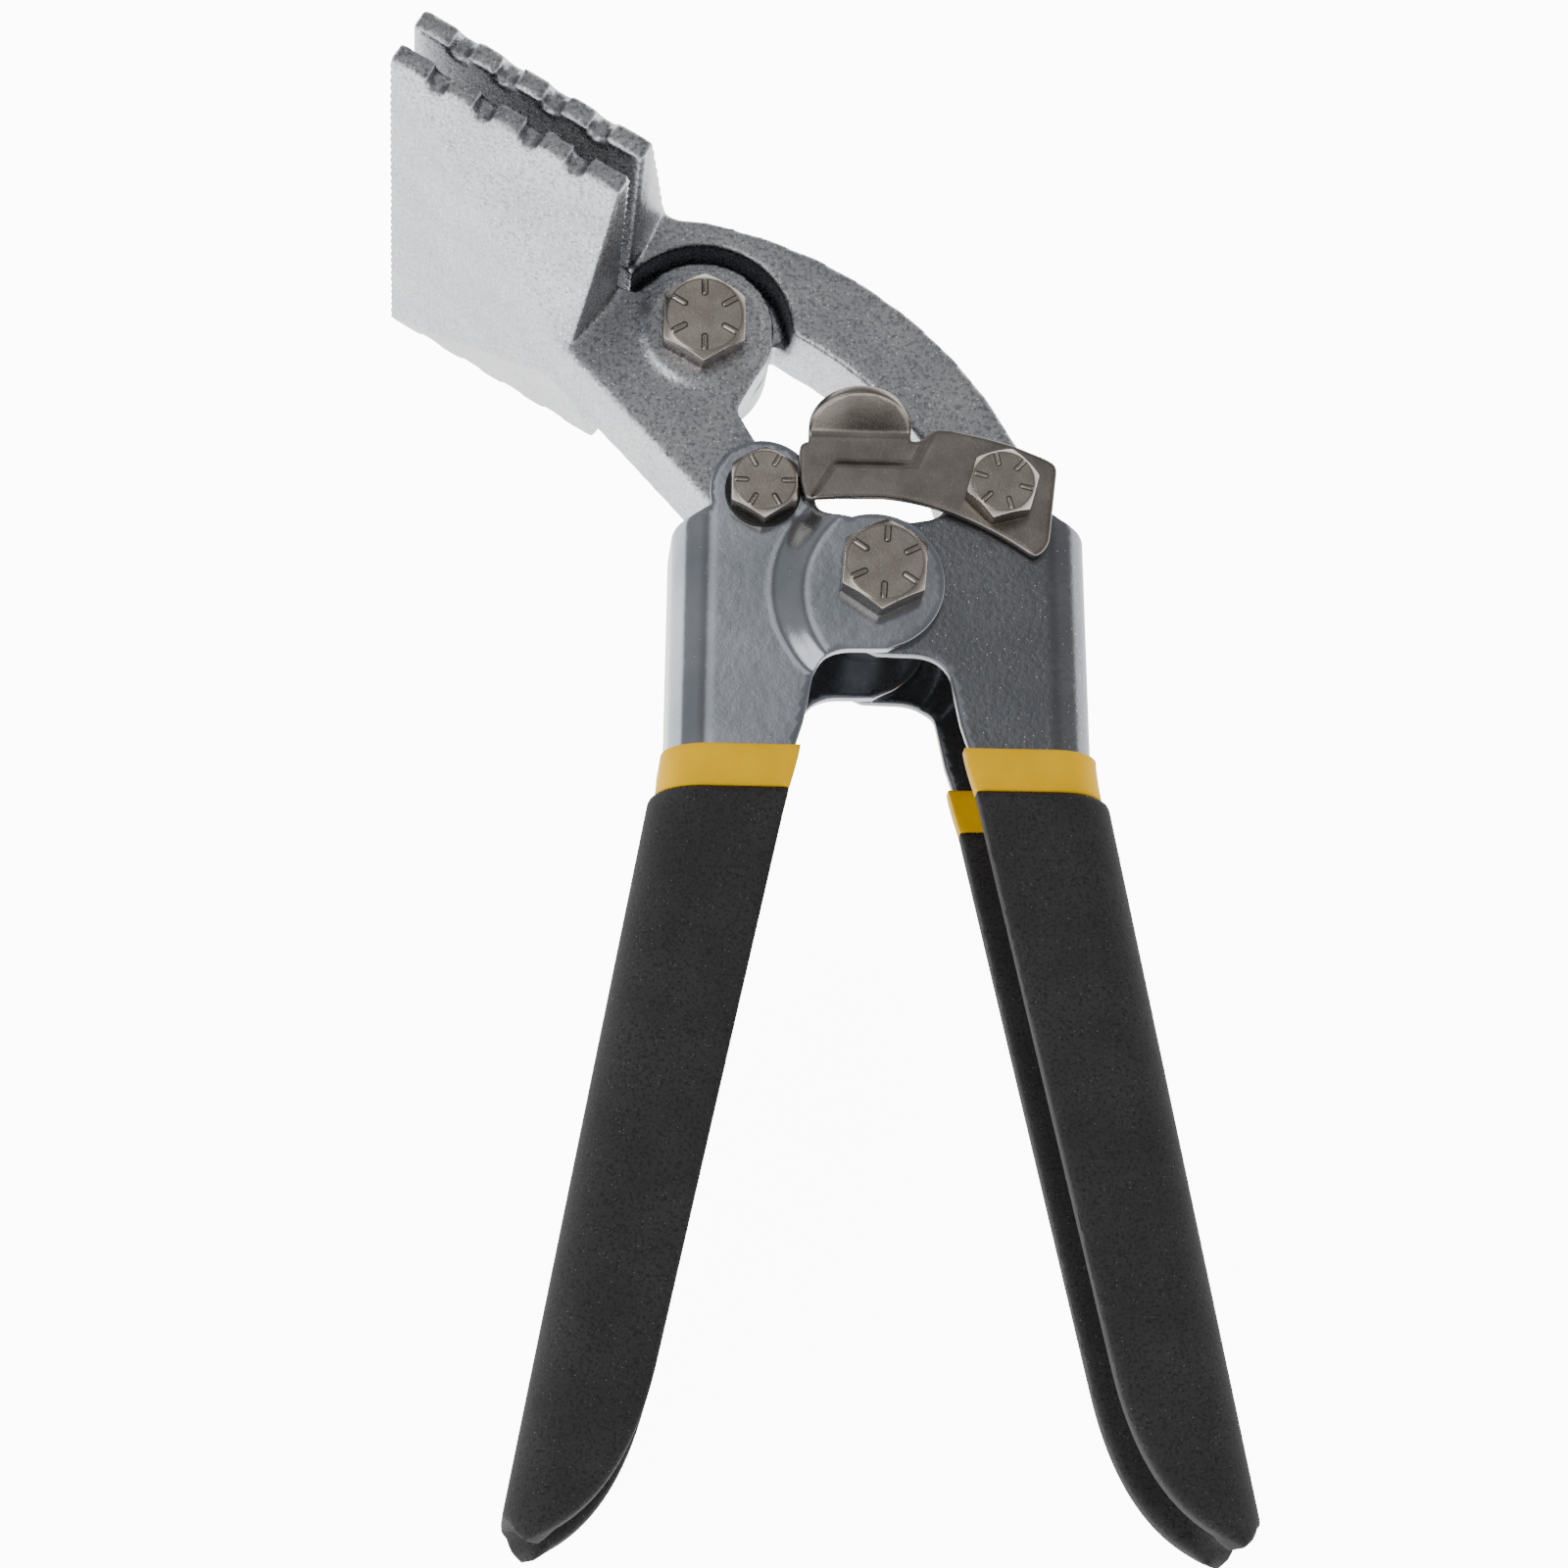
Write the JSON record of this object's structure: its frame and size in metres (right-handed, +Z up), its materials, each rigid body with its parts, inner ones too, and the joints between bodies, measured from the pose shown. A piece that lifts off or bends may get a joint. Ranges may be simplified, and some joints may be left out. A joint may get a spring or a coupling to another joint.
{
  "type": "sheet metal hand seamer",
  "caption": "Hand seamer with wide offset flat jaws, folded sheet handles, soft grips, hex pivot bolts and a swinging latch plate with a thumb tab.",
  "frame": {"origin": "middle of the bounding box's base: the surface the tool lies on", "axes": "+Y from the grips towards the jaws, +X to the right seen with the bolt heads up, +Z up; the bolts lean from +Z towards -Y by the tool's resting tilt of about 11.3 degrees"},
  "size_m": [0.1052, 0.1823, 0.0855],
  "materials": {
    "jaw_steel": "satin plated cast steel with a fine pebbled grain",
    "handle_sheet": "bright plated pressed sheet",
    "collar_plastic": "satin yellow",
    "grip_rubber": "matte charcoal, fine grain",
    "dark_nickel": "warm dark nickel plating",
    "bare_steel": "turned, bare",
    "dark_washer": "matte black",
    "lock_ring_plastic": "natural"
  },
  "bodies": {
    "front_jaw": {"front_jaw": "jaw_steel", "jaw_pivot_bolt": "dark_nickel", "jaw_pivot_nut": "dark_nickel", "jaw_pivot_insert": "lock_ring_plastic", "left_link_bolt": "dark_nickel", "left_link_nut": "dark_nickel", "left_link_insert": "lock_ring_plastic", "left_link_washer": "dark_washer", "left_link_shims": "bare_steel"},
    "rear_jaw": {"rear_jaw": "jaw_steel", "right_link_bolt": "dark_nickel", "right_link_nut": "dark_nickel", "right_link_insert": "lock_ring_plastic", "right_link_shims": "bare_steel"},
    "left_handle": {"left_handle": "handle_sheet", "left_collar": "collar_plastic", "left_grip": "grip_rubber", "handle_pivot_bolt": "dark_nickel", "handle_pivot_nut": "dark_nickel", "handle_pivot_insert": "lock_ring_plastic", "handle_pivot_sleeve": "bare_steel"},
    "right_handle": {"right_handle": "handle_sheet", "right_collar": "collar_plastic", "right_grip": "grip_rubber"},
    "latch": {"latch": "dark_nickel"}
  },
  "joints": [
    {"name": "jaw_open", "type": "hinge", "parent": "front_jaw", "child": "rear_jaw", "pos_m": [-0.0136, 0.05751, 0.03991], "axis": [0, 0.1938, -0.981], "range_deg": [0, 13.5]},
    {"name": "left_handle_swing", "type": "hinge", "parent": "front_jaw", "child": "left_handle", "pos_m": [-0.0063, 0.03603, 0.03567], "axis": [0, 0.1938, -0.981], "range_deg": [-0.05, 30.56]},
    {"name": "right_handle_swing", "type": "hinge", "parent": "rear_jaw", "child": "right_handle", "pos_m": [0.0225, 0.03603, 0.03567], "axis": [0, 0.1938, -0.981], "range_deg": [-6.13, 0.05]},
    {"name": "latch_swing", "type": "hinge", "parent": "right_handle", "child": "latch", "pos_m": [0.0225, 0.0339, 0.04646], "axis": [0, 0.1938, -0.981], "range_deg": [-0.1, 64.23]}
  ],
  "couplings": [
    {"joint": "left_handle_swing", "follows": "jaw_open", "ratio": 2.26},
    {"joint": "right_handle_swing", "follows": "jaw_open", "ratio": -0.45},
    {"joint": "latch_swing", "follows": "jaw_open", "ratio": 4.75}
  ]
}
